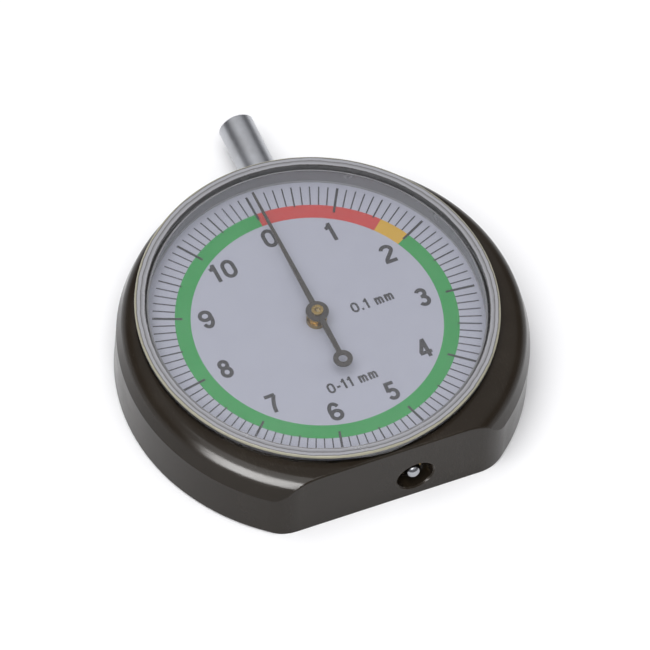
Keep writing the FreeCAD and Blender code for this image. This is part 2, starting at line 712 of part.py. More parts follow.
def make_guide_rail():
    """Angle bracket under the web with a long slot for the guide pin."""
    length = "rail_high_y - rail_low_y"
    leaf = box("rail_leaf", "rail_thick", length, "web_low - rail_low",
               ("rail_x", "rail_low_y", "rail_low"))
    foot = box("rail_foot", "rail_foot_end - rail_x", length, "web_low - rail_foot_low",
               ("rail_x", "rail_low_y", "rail_foot_low"))
    width = "2 * (guide_pin_radius + slide_gap)"
    slot = box("rail_slot", "rail_thick + 2 * bite", "travel + 2 * overrun", width,
               ("rail_x - bite", "guide_pin_y - travel - overrun",
                "rod_z - guide_pin_radius - slide_gap"))
    holes = [cylinder("rail_clear_%d" % k, "rail_screw_radius", "web_low - rail_foot_low + 2 * bite",
                      ("rail_screw_x", y, "rail_foot_low - bite"))
             for k, y in enumerate(rail_screw_ys())]
    angle = joined("rail_angle", [leaf, foot])
    node(cut("rail", angle, joined("rail_cuts", [slot] + holes)), "guide_rail")


def make_rail_screws():
    """Two slotted cheese-head screws that hold the rail to the web."""
    screws = []
    for k, y in enumerate(rail_screw_ys()):
        head = cylinder("rail_screw_head_%d" % k, "rail_head_radius",
                        "rail_foot_low - rail_head_low", ("rail_screw_x", y, "rail_head_low"))
        shank = cylinder("rail_screw_shank_%d" % k, "rail_screw_radius",
                         "rail_screw_top - rail_head_low", ("rail_screw_x", y, "rail_head_low"))
        slot = driver_slot("rail_screw_slot_%d" % k, "slot_width", "2 * (rail_head_radius + bite)",
                           "slot_depth", ("rail_screw_x", y, "rail_head_low"))
        blank = joined("rail_screw_blank_%d" % k, [head, shank])
        screws.append(cut("rail_screw_%d" % k, blank, slot))
    node(group("rail_screw_pair", screws), "rail_screws")


def make_spring():
    """Compression spring round the probe, between the collar and the lower bush."""
    low = "spring_low + wire_radius"
    height = "(spring_top - spring_low - 2 * wire_radius)"
    coil = doc.addObject("Part::Helix", "spring_line")
    bind(coil, Pitch=height + " / spring_turns", Height=height, Radius="spring_radius")
    coil.SegmentLength = 1.0
    wire = doc.addObject("Part::Circle", "spring_wire")
    bind(wire, Radius="wire_radius")
    wire.Placement = Placement(Vector(), Rotation(Vector(1, 0, 0), 90))
    wire.setExpression("Placement.Base.x", formula("spring_radius"))
    sweep = doc.addObject("Part::Sweep", "spring_sweep")
    doc.recompute()
    sweep.Sections = [wire]
    sweep.Spine = (coil, ["Edge%d" % (k + 1) for k in range(len(coil.Shape.Edges))])
    sweep.Solid = True
    sweep.Frenet = True
    move(sweep, ("rod_x", low, "rod_z"), "Y")
    node(sweep, "return_spring")


# ---------------------------------------------------------------- build and write

def check_and_write():
    """Stop on any failed object or bad shape, then write one STEP file per node."""
    doc.recompute()
    faults = [item.Name for item in doc.Objects
              if "Invalid" in item.State or "Error" in item.State]
    for item in NODES:
        if item.Shape.isNull() or not item.Shape.isValid() or not item.Shape.Solids:
            faults.append(item.Label)
    if faults:
        raise RuntimeError("failed: " + ", ".join(faults))
    os.makedirs("parts", exist_ok=True)
    for item in NODES:
        item.Shape.exportStep("parts/%s.step" % item.Label)
        print("%-20s %2d solids %10.3f mm3" % (item.Label, len(item.Shape.Solids),
                                              item.Shape.Volume))


def main():
    """Build every piece in the order it is assembled."""
    make_case()
    make_back_cover()
    make_cover_screws()
    make_dial()
    make_gasket()
    make_lens()
    make_arbor()
    make_pinion()
    make_bearings()
    make_bearing_plate()
    make_pillars()
    make_plate_screws()
    make_pointer()
    make_pointer_hub()
    make_rod()
    make_rack()
    make_rack_pins()
    make_probe()
    make_plunger_rings()
    make_guide_bushes()
    make_guide_pin()
    make_guide_rail()
    make_rail_screws()
    make_spring()
    check_and_write()


main()
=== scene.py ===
"""Looks of a dial depth gauge for tyre treads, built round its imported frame.

Metres, with the origin on the back face under the pointer's axis: +Z leaves the dial, +Y
runs along the plunger to its push end, and the flat measuring base faces -Y.
"""

import json
import logging
import math
from collections.abc import Callable, Iterable
from dataclasses import dataclass, field
from enum import Enum
from typing import Any, ClassVar

import bmesh
import bpy
from mathutils import Matrix, Vector


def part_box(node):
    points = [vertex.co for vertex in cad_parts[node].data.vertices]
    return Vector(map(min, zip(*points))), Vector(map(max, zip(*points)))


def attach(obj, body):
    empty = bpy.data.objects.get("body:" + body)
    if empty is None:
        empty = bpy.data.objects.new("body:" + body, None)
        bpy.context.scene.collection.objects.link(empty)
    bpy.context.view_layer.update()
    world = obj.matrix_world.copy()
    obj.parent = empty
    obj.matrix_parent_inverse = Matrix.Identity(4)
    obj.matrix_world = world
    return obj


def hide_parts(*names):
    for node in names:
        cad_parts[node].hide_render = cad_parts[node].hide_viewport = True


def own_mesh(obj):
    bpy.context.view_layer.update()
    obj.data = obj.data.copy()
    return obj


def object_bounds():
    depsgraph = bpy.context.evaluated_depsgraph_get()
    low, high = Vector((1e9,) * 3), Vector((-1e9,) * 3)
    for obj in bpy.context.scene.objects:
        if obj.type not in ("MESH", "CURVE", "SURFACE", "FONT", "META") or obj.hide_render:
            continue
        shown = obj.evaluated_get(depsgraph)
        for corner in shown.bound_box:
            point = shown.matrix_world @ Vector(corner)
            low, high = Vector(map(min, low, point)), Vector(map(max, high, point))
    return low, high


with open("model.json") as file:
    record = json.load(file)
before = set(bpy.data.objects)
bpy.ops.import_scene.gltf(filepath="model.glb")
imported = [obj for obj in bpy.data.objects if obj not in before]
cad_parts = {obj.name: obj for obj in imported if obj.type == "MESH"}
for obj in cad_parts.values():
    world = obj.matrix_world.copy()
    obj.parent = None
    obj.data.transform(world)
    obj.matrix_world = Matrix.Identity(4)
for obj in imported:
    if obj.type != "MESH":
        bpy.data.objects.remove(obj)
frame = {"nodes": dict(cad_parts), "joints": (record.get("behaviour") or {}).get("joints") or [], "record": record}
CAD_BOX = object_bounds()

MM = 0.001
TURN = 2.0 * math.pi
SMOOTH_ANGLE = math.radians(40.0)
LOG = logging.getLogger("depth_gauge")

Colour = tuple[float, float, float, float]
Point2 = tuple[float, float]


class Slot(Enum):
    """Material slots of the record, which name what each piece is made of."""

    CASE = "moulded_case"
    COVER = "moulded_cover"
    SCREW = "plated_screw"
    DIAL = "printed_dial"
    GASKET = "gasket_rubber"
    LENS = "clear_lens"
    BRASS = "turned_brass"
    SHEET_BRASS = "brass_plate"
    NYLON = "nylon"
    SPRING = "spring_steel"
    GROUND = "ground_steel"
    HARD = "hard_steel"
    POINTER = "pointer_dark"


class Body(Enum):
    """Bodies of the frame that the added pieces ride on."""

    CASE = "case"


class LineRun(Enum):
    """Which way the fine lines of a metal finish are spaced."""

    ALONG_PLUNGER = "along the plunger"
    ROUND_ARBOR = "rings round the arbor"
    ROLLED = "straight lines of rolled sheet"


def tone(red: int, green: int, blue: int) -> Colour:
    """Turn an 8-bit display colour into linear RGBA.

    Args:
        red: Red share, 0 to 255.
        green: Green share, 0 to 255.
        blue: Blue share, 0 to 255.

    Returns:
        The same colour as linear numbers with full opacity.
    """

    def linear(share: int) -> float:
        """Undo the display curve of one share."""
        level = share / 255.0
        return level / 12.92 if level <= 0.04045 else ((level + 0.055) / 1.055) ** 2.4

    return (linear(red), linear(green), linear(blue), 1.0)


# ------------------------------------------------------------------ shader graphs


class Graph:
    """A node tree with short calls that add nodes and join them."""

    def __init__(self, tree: bpy.types.NodeTree) -> None:
        """Work on a tree.

        Args:
            tree: The node tree that gets the nodes.
        """
        self.tree = tree

    def add(self, kind: str, inputs: dict[str | int, Any] | None = None,
            **settings: Any) -> bpy.types.Node:
        """Add one node, set its fields and feed its inputs.

        Args:
            kind: The node's type name.
            inputs: Values or sockets for inputs, by name or index.
            **settings: Fields of the node itself.

        Returns:
            The new node.
        """
        node = self.tree.nodes.new(kind)
        for name, value in settings.items():
            setattr(node, name, value)
        for name, value in (inputs or {}).items():
            if isinstance(value, bpy.types.NodeSocket):
                self.tree.links.new(value, node.inputs[name])
            else:
                node.inputs[name].default_value = value
        return node

    def math(self, operation: str, *values: Any, clamp: bool = False) -> bpy.types.NodeSocket:
        """Add a math node.

        Args:
            operation: The node's operation.
            *values: Numbers or sockets, in order.
            clamp: Whether the result is kept between 0 and 1.

        Returns:
            The result's socket.
        """
        node = self.add("ShaderNodeMath", dict(enumerate(values)), operation=operation,
                        use_clamp=clamp)
        return node.outputs[0]

    def blend(self, share: Any, low: Any, high: Any) -> bpy.types.NodeSocket:
        """Mix two colours.

        Args:
            share: How much of the second colour shows.
            low: Colour or socket at share 0.
            high: Colour or socket at share 1.

        Returns:
            The mixed colour's socket.
        """
        node = self.add("ShaderNodeMix", {0: share, 6: low, 7: high}, data_type="RGBA")
        return node.outputs[2]

    def span(self, value: Any, low: float, high: float, start: float = 0.0,
             end: float = 1.0) -> bpy.types.NodeSocket:
        """Map a range of a value to another range, clamped.

        Args:
            value: The value's socket.
            low: Input that gives start.
            high: Input that gives end.
            start: Lowest output.
            end: Highest output.

        Returns:
            The mapped value's socket.
        """
        names = ("Value", "From Min", "From Max", "To Min", "To Max")
        node = self.add("ShaderNodeMapRange", dict(zip(names, (value, low, high, start, end))))
        return node.outputs["Result"]

    def ramp(self, value: Any, stops: Iterable[tuple[float, Colour]]) -> bpy.types.NodeSocket:
        """Turn a value into a colour through a row of stops.

        Args:
            value: The value's socket.
            stops: Places from 0 to 1 with their colours, in order.

        Returns:
            The colour's socket.
        """
        node = self.add("ShaderNodeValToRGB", {0: value})
        elements = node.color_ramp.elements
        for index, (place, colour) in enumerate(stops):
            element = elements[index] if index < 2 else elements.new(place)
            element.position = place
            element.color = colour
        return node.outputs["Color"]

    def place(self) -> bpy.types.NodeSocket:
        """Return the point of the surface in the row frame at rest."""
        return self.add("ShaderNodeTexCoord").outputs["Object"]

    def parts(self, vector: Any) -> Any:
        """Return the X, Y and Z sockets of a vector."""
        return self.add("ShaderNodeSeparateXYZ", {0: vector}).outputs

    def noise(self, vector: Any, scale: Any, detail: float = 3.0,
              rough: float = 0.5) -> bpy.types.NodeSocket:
        """Add 3-D noise.

        Args:
            vector: Where the noise is read.
            scale: Waves per metre.
            detail: Octaves.
            rough: Weight of the finer octaves.

        Returns:
            The noise value's socket.
        """
        node = self.add("ShaderNodeTexNoise", {"Vector": vector, "Scale": scale,
                                               "Detail": detail, "Roughness": rough})
        return node.outputs["Fac"]

    def effect(self, kind: type["Effect"], inputs: dict[str, Any]) -> Any:
        """Place a shared effect's node group.

        Args:
            kind: The effect's class.
            inputs: Values or sockets for its named inputs.

        Returns:
            The group's outputs, by name.
        """
        node = self.add("ShaderNodeGroup", node_tree=kind.tree())
        for name, value in inputs.items():
            if isinstance(value, bpy.types.NodeSocket):
                self.tree.links.new(value, node.inputs[name])
            else:
                node.inputs[name].default_value = value
        return node.outputs

    def bump(self, height: Any, depth: float, under: Any | None = None) -> bpy.types.NodeSocket:
        """Turn a height into a normal.

        Args:
            height: The height's socket, 0 to 1.
            depth: What a height of 1 stands for, in metres.
            under: A normal that this one builds on.

        Returns:
            The normal's socket.
        """
        inputs: dict[str | int, Any] = {"Height": height, "Distance": depth}
        if under is not None:
            inputs["Normal"] = under
        return self.add("ShaderNodeBump", inputs).outputs["Normal"]


class Effect:
    """A surface effect that several finishes share, kept as one node group."""

    title: ClassVar[str]
    takes: ClassVar[dict[str, Any]]
    gives: ClassVar[dict[str, str]]

    @classmethod
    def tree(cls) -> bpy.types.NodeTree:
        """Return the effect's node group, made at its first use."""
        return bpy.data.node_groups.get(cls.title) or cls.make()

    @classmethod
    def make(cls) -> bpy.types.NodeTree:
        """Make the group with its named sockets and let the effect wire it."""
        tree = bpy.data.node_groups.new(cls.title, "ShaderNodeTree")
        for name, value in cls.takes.items():
            kind = "NodeSocketFloat" if isinstance(value, float) else "NodeSocketColor"
            socket = tree.interface.new_socket(name=name, in_out="INPUT", socket_type=kind)
            socket.default_value = value
        for name, kind in cls.gives.items():
            tree.interface.new_socket(name=name, in_out="OUTPUT", socket_type=kind)
        graph = Graph(tree)
        start = graph.add("NodeGroupInput")
        end = graph.add("NodeGroupOutput")
        for name, socket in cls.wire(graph, start.outputs).items():
            tree.links.new(socket, end.inputs[name])
        return tree

    @classmethod
    def wire(cls, graph: Graph, takes: Any) -> dict[str, bpy.types.NodeSocket]:
        """Add the effect's nodes.

        Args:
            graph: The group's graph.
            takes: The group's input sockets, by name.

        Returns:
            The sockets that feed the outputs, by name.
        """
        raise NotImplementedError


class MouldGrain(Effect):
    """Fine uneven skin of a moulding or a print."""

    title = "mould_grain"
    takes = {"Scale": 5000.0}
    gives = {"Height": "NodeSocketFloat"}

    @classmethod
    def wire(cls, graph: Graph, takes: Any) -> dict[str, bpy.types.NodeSocket]:
        """Mix a fine grain with slow waves of the tool's surface."""
        fine = graph.noise(graph.place(), takes["Scale"], 4.0, 0.6)
        slow = graph.noise(graph.place(), graph.math("MULTIPLY", takes["Scale"], 0.12), 2.0)
        return {"Height": graph.math("ADD", graph.math("MULTIPLY", fine, 0.45),
                                     graph.math("MULTIPLY", slow, 0.55))}


class ColourMottle(Effect):
    """Slow uneven tone of a solid colour."""

    title = "colour_mottle"
    takes = {"Color": (0.5, 0.5, 0.5, 1.0), "Scale": 200.0, "Amount": 0.1}
    gives = {"Color": "NodeSocketColor"}

    @classmethod
    def wire(cls, graph: Graph, takes: Any) -> dict[str, bpy.types.NodeSocket]:
        """Brighten and darken the colour by noise."""
        cloud = graph.noise(graph.place(), takes["Scale"], 5.0, 0.65)
        shift = graph.math("MULTIPLY", graph.math("SUBTRACT", cloud, 0.5), takes["Amount"])
        value = graph.math("ADD", graph.math("MULTIPLY", shift, 2.0), 1.0)
        node = graph.add("ShaderNodeHueSaturation", {"Color": takes["Color"], "Value": value})
        return {"Color": node.outputs["Color"]}


class EdgeWear(Effect):
    """Rubbed edges, broken up by noise."""

    title = "edge_wear"
    takes = {"Radius": 0.0003, "Breakup": 900.0}
    gives = {"Mask": "NodeSocketFloat"}

    @classmethod
    def wire(cls, graph: Graph, takes: Any) -> dict[str, bpy.types.NodeSocket]:
        """Compare the true normal with one that is rounded over the radius."""
        soft = graph.add("ShaderNodeBevel", {"Radius": takes["Radius"]}, samples=4)
        true = graph.add("ShaderNodeNewGeometry").outputs["Normal"]
        same = graph.add("ShaderNodeVectorMath", {0: soft.outputs[0], 1: true},
                         operation="DOT_PRODUCT").outputs["Value"]
        edge = graph.span(same, 0.995, 0.90)
        rough = graph.span(graph.noise(graph.place(), takes["Breakup"], 4.0, 0.7), 0.42, 0.62)
        return {"Mask": graph.math("MULTIPLY", edge, rough)}


class SettledDust(Effect):
    """Specks and thin dust on faces that look up."""

    title = "settled_dust"
    takes = {"Scale": 2500.0, "Amount": 0.2}
    gives = {"Mask": "NodeSocketFloat"}

    @classmethod
    def wire(cls, graph: Graph, takes: Any) -> dict[str, bpy.types.NodeSocket]:
        """Keep the peaks of fine noise where the rest normal points up."""
        normal = graph.add("ShaderNodeTexCoord").outputs["Normal"]
        up = graph.span(graph.parts(normal)[2], 0.2, 0.95)
        speck = graph.span(graph.noise(graph.place(), takes["Scale"], 2.0, 0.8), 0.66, 0.74)
        film = graph.span(graph.noise(graph.place(), 120.0, 3.0), 0.45, 0.8, 0.0, 0.25)
        both = graph.math("MAXIMUM", speck, film)
        return {"Mask": graph.math("MULTIPLY", graph.math("MULTIPLY", both, up),
                                   takes["Amount"], clamp=True)}


class HairScratches(Effect):
    """Faint crossed hairlines of handling."""

    title = "hair_scratches"
    takes = {"Scale": 260.0, "Amount": 0.3}
    gives = {"Mask": "NodeSocketFloat"}

    @classmethod
    def wire(cls, graph: Graph, takes: Any) -> dict[str, bpy.types.NodeSocket]:
        """Cross two noises that are drawn out into thin lines."""
        found: list[bpy.types.NodeSocket] = []
        for turn, stretch in ((0.5, 26.0), (2.1, 34.0)):
            spun = graph.add("ShaderNodeMapping", {"Vector": graph.place(),
                                                   "Rotation": (0.0, 0.0, turn),
                                                   "Scale": (stretch, 1.0, 1.0)})
            line = graph.noise(spun.outputs[0], takes["Scale"], 1.0)
            found.append(graph.span(graph.math("ABSOLUTE", graph.math("SUBTRACT", line, 0.5)),
                                    0.012, 0.0))
        patch = graph.span(graph.noise(graph.place(), 90.0, 2.0), 0.5, 0.65)
        both = graph.math("MAXIMUM", found[0], found[1])
        return {"Mask": graph.math("MULTIPLY", graph.math("MULTIPLY", both, patch),
                                   takes["Amount"], clamp=True)}


class FineLines(Effect):
    """Lines left by a lathe, a grinder or rolls, spaced along one coordinate."""

    title = "fine_lines"
    takes = {"Along": 0.0, "Scale": 9000.0}
    gives = {"Height": "NodeSocketFloat"}

    @classmethod
    def wire(cls, graph: Graph, takes: Any) -> dict[str, bpy.types.NodeSocket]:
        """Read one-way noise along the coordinate at two pitches."""
        heights: list[bpy.types.NodeSocket] = []
        for share in (1.0, 0.23):
            line = graph.add("ShaderNodeTexNoise", {
                "W": takes["Along"], "Scale": graph.math("MULTIPLY", takes["Scale"], share),
                "Detail": 2.0}, noise_dimensions="1D")
            heights.append(line.outputs["Fac"])
        return {"Height": graph.math("MULTIPLY", graph.math("ADD", *heights), 0.5)}


class SmearedGloss(Effect):
    """Roughness that wanders between a clean and a fingered level."""

    title = "smeared_gloss"
    takes = {"Low": 0.2, "High": 0.35, "Scale": 110.0}
    gives = {"Roughness": "NodeSocketFloat"}

    @classmethod
    def wire(cls, graph: Graph, takes: Any) -> dict[str, bpy.types.NodeSocket]:
        """Blend the two levels by slow noise."""
        cloud = graph.span(graph.noise(graph.place(), takes["Scale"], 4.0, 0.6), 0.35, 0.68)
        reach = graph.math("SUBTRACT", takes["High"], takes["Low"])
        return {"Roughness": graph.math("MULTIPLY_ADD", cloud, reach, takes["Low"])}


# ------------------------------------------------------------------ finishes


@dataclass(frozen=True)
class Finish:
    """A named finish that makes its own material once."""

    made_before: ClassVar[dict[str, bpy.types.Material]] = {}

    name: str

    def material(self) -> bpy.types.Material:
        """Return the finish's material, made at its first use."""
        if self.name in self.made_before:
            return self.made_before[self.name]
        made = bpy.data.materials.new(self.name)
        self.made_before[self.name] = made
        made.use_nodes = True
        graph = Graph(made.node_tree)
        self.wire(graph, made.node_tree.nodes["Principled BSDF"])
        return made

    def wire(self, graph: Graph, shader: bpy.types.Node) -> None:
        """Add the finish's nodes.

        Args:
            graph: The material's graph.
            shader: The material's shader.
        """
        raise NotImplementedError


@dataclass(frozen=True)
class Moulded(Finish):
    """Moulded plastic or rubber: mottled tone, grain, wear, dust and smears."""

    colour: Colour
    worn: Colour
    gloss: Point2 = (0.24, 0.36)
    grain: float = 4200.0
    grain_depth: float = 0.010 * MM
    wear_radius: float = 0.35 * MM
    dust: float = 0.25
    shine: float = 0.5

    def wire(self, graph: Graph, shader: bpy.types.Node) -> None:
        """Layer mottle, scratches, worn edges and dust over the base colour."""
        base = graph.effect(ColourMottle, {"Color": self.colour, "Scale": 160.0,
                                           "Amount": 0.16})["Color"]
        wear = graph.effect(EdgeWear, {"Radius": self.wear_radius, "Breakup": 1200.0})["Mask"]
        hair = graph.effect(HairScratches, {"Scale": 300.0, "Amount": 0.25})["Mask"]
        dust = graph.effect(SettledDust, {"Scale": 3200.0, "Amount": self.dust})["Mask"]
        worn = graph.blend(graph.math("MAXIMUM", wear, hair), base, self.worn)
        dusty = graph.blend(dust, worn, tone(150, 146, 138))
        rough = graph.effect(SmearedGloss, {"Low": self.gloss[0], "High": self.gloss[1],
                                            "Scale": 130.0})["Roughness"]
        grain = graph.effect(MouldGrain, {"Scale": self.grain})["Height"]
        for name, value in (("Base Color", dusty),
                            ("Roughness", graph.math("MULTIPLY_ADD", dust, 0.4, rough)),
                            ("Normal", graph.bump(grain, self.grain_depth))):
            graph.tree.links.new(value, shader.inputs[name])
        shader.inputs["Specular IOR Level"].default_value = self.shine


@dataclass(frozen=True)
class Ink(Finish):
    """Printed ink or lacquered card: even tone with a fine tooth."""

    colour: Colour
    amount: float = 0.05
    gloss: Point2 = (0.42, 0.55)
    tooth: float = 9000.0
    tooth_depth: float = 0.004 * MM

    def wire(self, graph: Graph, shader: bpy.types.Node) -> None:
        """Mottle the colour a little and add the tooth."""
        base = graph.effect(ColourMottle, {"Color": self.colour, "Scale": 420.0,
                                           "Amount": self.amount})["Color"]
        speck = graph.effect(SettledDust, {"Scale": 1700.0, "Amount": 0.10})["Mask"]
        rough = graph.effect(SmearedGloss, {"Low": self.gloss[0], "High": self.gloss[1],
                                            "Scale": 150.0})["Roughness"]
        tooth = graph.effect(MouldGrain, {"Scale": self.tooth})["Height"]
        for name, value in (("Base Color", graph.blend(speck, base, tone(205, 203, 200))),
                            ("Roughness", rough),
                            ("Normal", graph.bump(tooth, self.tooth_depth))):
            graph.tree.links.new(value, shader.inputs[name])


@dataclass(frozen=True)
class Metal(Finish):
    """Bare or plated metal with the lines of how it was made."""

    colour: Colour
    dull: Colour
    run: LineRun
    gloss: Point2 = (0.20, 0.32)
    line_scale: float = 9000.0
    line_depth: float = 0.006 * MM
    edge_radius: float = 0.06 * MM
    tarnish: float = 0.35

    def along(self, graph: Graph) -> bpy.types.NodeSocket:
        """Return the coordinate that the lines are spaced along."""
        x, y, z = graph.parts(graph.place())
        if self.run is LineRun.ALONG_PLUNGER:
            return y
        if self.run is LineRun.ROLLED:
            return x
        ring = graph.math("SQRT", graph.math("ADD", graph.math("MULTIPLY", x, x),
                                             graph.math("MULTIPLY", y, y)))
        return graph.math("ADD", ring, z)

    def wire(self, graph: Graph, shader: bpy.types.Node) -> None:
        """Dull the metal in patches and cut fine lines over rounded edges."""
        lines = graph.effect(FineLines, {"Along": self.along(graph),
                                         "Scale": self.line_scale})["Height"]
        cloud = graph.span(graph.noise(graph.place(), 260.0, 5.0, 0.65), 0.4, 0.72, 0.0,
                           self.tarnish)
        base = graph.effect(ColourMottle, {"Color": graph.blend(cloud, self.colour, self.dull),
                                           "Scale": 900.0, "Amount": 0.06})["Color"]
        wear = graph.effect(EdgeWear, {"Radius": self.edge_radius, "Breakup": 4000.0})["Mask"]
        bright = graph.blend(graph.math("MULTIPLY", wear, 0.5), base, tone(235, 232, 225))
        rough = graph.effect(SmearedGloss, {"Low": self.gloss[0], "High": self.gloss[1],
                                            "Scale": 300.0})["Roughness"]
        rounded = graph.add("ShaderNodeBevel", {"Radius": self.edge_radius}, samples=4)
        normal = graph.bump(lines, self.line_depth, rounded.outputs[0])
        for name, value in (("Base Color", bright), ("Roughness", rough), ("Normal", normal)):
            graph.tree.links.new(value, shader.inputs[name])
        shader.inputs["Metallic"].default_value = 1.0


@dataclass(frozen=True)
class ClearPlastic(Finish):
    """Clear moulded plastic that lets daylight through to what lies under it."""

    tint: Colour
    gloss: Point2 = (0.02, 0.07)

    def wire(self, graph: Graph, shader: bpy.types.Node) -> None:
        """Scratch the surface a little and let light pass without a dark shadow."""
        hair = graph.effect(HairScratches, {"Scale": 240.0, "Amount": 0.5})["Mask"]
        rough = graph.effect(SmearedGloss, {"Low": self.gloss[0], "High": self.gloss[1],
                                            "Scale": 90.0})["Roughness"]
        slow = graph.effect(MouldGrain, {"Scale": 900.0})["Height"]
        graph.tree.links.new(graph.math("MULTIPLY_ADD", hair, 0.25, rough),
                             shader.inputs["Roughness"])
        graph.tree.links.new(graph.bump(slow, 0.002 * MM), shader.inputs["Normal"])
        shader.inputs["Base Color"].default_value = self.tint
        shader.inputs["IOR"].default_value = 1.49
        shader.inputs["Transmission Weight"].default_value = 1.0
        path = graph.add("ShaderNodeLightPath")
        passing = graph.math("MAXIMUM", path.outputs["Is Shadow Ray"],
                             path.outputs["Is Diffuse Ray"])
        clear = graph.add("ShaderNodeBsdfTransparent", {"Color": self.tint})
        mixed = graph.add("ShaderNodeMixShader", {0: passing, 1: shader.outputs[0],
                                                  2: clear.outputs[0]})
        end = graph.tree.nodes["Material Output"]
        graph.tree.links.new(mixed.outputs[0], end.inputs["Surface"])


@dataclass(frozen=True)
class LensWall(Finish):
    """The cup's thick rim: clear plastic seen edge on, with painted reflections, painted shade and a painted edge
    highlight in ragged rings.
    """

    # Painted light: crown is a painted reflection, inner a painted grey of shade seen through the clear wall, line
    # the painted dark rings of shade and of the black case seen through, edge a painted beige edge highlight.
    crown: Colour
    inner: Colour
    line: Colour
    edge: Colour
    inner_radius: float
    outer_radius: float

    def wire(self, graph: Graph, shader: bpy.types.Node) -> None:
        """Paint reflections, shade and the edge highlight on the rim by its distance from the axis, broken up by
        noise.
        """
        x, y, z = graph.parts(graph.place())
        ring = graph.math("SQRT", graph.math("ADD", graph.math("MULTIPLY", x, x),
                                             graph.math("MULTIPLY", y, y)))
        ragged = graph.noise(graph.place(), 420.0, 4.0, 0.7)
        wander = graph.math("MULTIPLY", graph.math("SUBTRACT", ragged, 0.5), 0.35 * MM)
        share = graph.span(graph.math("ADD", ring, wander), self.inner_radius,
                           self.outer_radius)
        streak = graph.effect(FineLines, {"Along": graph.math("ADD", ring, z),
                                          "Scale": 2600.0})["Height"]
        # Painted rings of reflection, shade and edge highlight, from the axis outwards.
        painted_rim_bands = graph.ramp(share, [(0.0, self.inner), (0.10, self.inner), (0.16, self.line),
                                    (0.22, self.crown), (0.46, self.inner), (0.52, self.line),
                                    (0.58, self.crown), (0.76, self.crown), (0.82, self.line),
                                    (0.90, self.edge), (1.0, self.edge)])
        # Streaks pull the painted rings towards the painted shade grey; this is the rim's painted light colour.
        dark = graph.blend(graph.span(streak, 0.42, 0.62, 0.0, 0.35), painted_rim_bands, self.inner)
        rough = graph.effect(SmearedGloss, {"Low": 0.10, "High": 0.28,
                                            "Scale": 260.0})["Roughness"]
        for name, value in (("Base Color", dark), ("Roughness", rough),
                            ("Normal", graph.bump(ragged, 0.012 * MM))):
            graph.tree.links.new(value, shader.inputs[name])
        shader.inputs["IOR"].default_value = 1.49
        shader.inputs["Transmission Weight"].default_value = 0.2


@dataclass(frozen=True)
class Tabletop(Finish):
    """Pale paper that the gauge lies on."""

    colour: Colour

    def wire(self, graph: Graph, shader: bpy.types.Node) -> None:
        """Give the paper a faint tone and tooth."""
        base = graph.effect(ColourMottle, {"Color": self.colour, "Scale": 6.0,
                                           "Amount": 0.01})["Color"]
        tooth = graph.effect(MouldGrain, {"Scale": 2500.0})["Height"]
        graph.tree.links.new(base, shader.inputs["Base Color"])
        graph.tree.links.new(graph.bump(tooth, 0.01 * MM), shader.inputs["Normal"])
        shader.inputs["Roughness"].default_value = 0.85


DARK_PRINT = Ink("dark_print", tone(40, 39, 43))
SLOT_FINISH: dict[Slot, Finish] = {
    Slot.CASE: Moulded("case_moulding", tone(37, 31, 24), tone(98, 91, 82),
                       gloss=(0.16, 0.26), grain_depth=0.004 * MM, wear_radius=0.20 * MM,
                       dust=0.08, shine=0.18),
    Slot.COVER: Moulded("cover_moulding", tone(40, 37, 33), tone(96, 92, 86),
                        gloss=(0.42, 0.55), grain=2600.0, grain_depth=0.02 * MM),
    Slot.SCREW: Metal("plated_steel", tone(205, 206, 210), tone(150, 148, 140),
                      LineRun.ROLLED),
    Slot.DIAL: Ink("dial_enamel", tone(155, 156, 168)),
    Slot.GASKET: Moulded("grey_gasket_rubber", tone(150, 150, 152), tone(176, 176, 176),
                         gloss=(0.55, 0.7), grain=3200.0, wear_radius=0.1 * MM),
    Slot.LENS: ClearPlastic("lens_window", (0.97, 0.975, 0.98, 1.0)),
    Slot.BRASS: Metal("lathe_turned_brass", tone(160, 136, 82), tone(98, 78, 46),
                      LineRun.ROUND_ARBOR, line_scale=12000.0),
    Slot.SHEET_BRASS: Metal("sheet_brass", tone(205, 172, 100), tone(140, 110, 62),
                            LineRun.ROLLED, gloss=(0.26, 0.4)),
    Slot.NYLON: Moulded("natural_nylon", tone(222, 219, 206), tone(235, 233, 224),
                        gloss=(0.4, 0.5), grain=2600.0, wear_radius=0.1 * MM),
    Slot.SPRING: Metal("spring_wire", tone(176, 177, 180), tone(120, 118, 116),
                       LineRun.ALONG_PLUNGER, edge_radius=0.02 * MM),
    Slot.GROUND: Metal("ground_rod_steel", tone(184, 186, 190), tone(146, 145, 144),
                       LineRun.ALONG_PLUNGER, gloss=(0.28, 0.38), line_depth=0.003 * MM,
                       edge_radius=0.15 * MM),
    Slot.HARD: Metal("hardened_steel", tone(168, 170, 174), tone(120, 120, 122),
                     LineRun.ALONG_PLUNGER, gloss=(0.12, 0.22)),
    Slot.POINTER: Moulded("pointer_lacquer", tone(46, 42, 39), tone(112, 104, 95),
                          gloss=(0.32, 0.45), grain=9000.0, grain_depth=0.003 * MM,
                          wear_radius=0.05 * MM, dust=0.15),
}


# ------------------------------------------------------------------ mesh helpers


def link(name: str, mesh: bmesh.types.BMesh, finishes: Iterable[Finish]) -> bpy.types.Object:
    """Turn a working mesh into an object of the scene.

    Args:
        name: The piece's name.
        mesh: The working mesh, which is freed.
        finishes: Finishes of the piece, in the order of its material slots.

    Returns:
        The new object.
    """
    bmesh.ops.recalc_face_normals(mesh, faces=mesh.faces)
    for face in mesh.faces:
        face.smooth = True
    for edge in mesh.edges:
        edge.smooth = len(edge.link_faces) == 2 and edge.calc_face_angle(0.0) < SMOOTH_ANGLE
    data = bpy.data.meshes.new(name)
    mesh.to_mesh(data)
    mesh.free()
    for finish in finishes:
        data.materials.append(finish.material())
    piece = bpy.data.objects.new(name, data)
    bpy.context.scene.collection.objects.link(piece)
    return piece


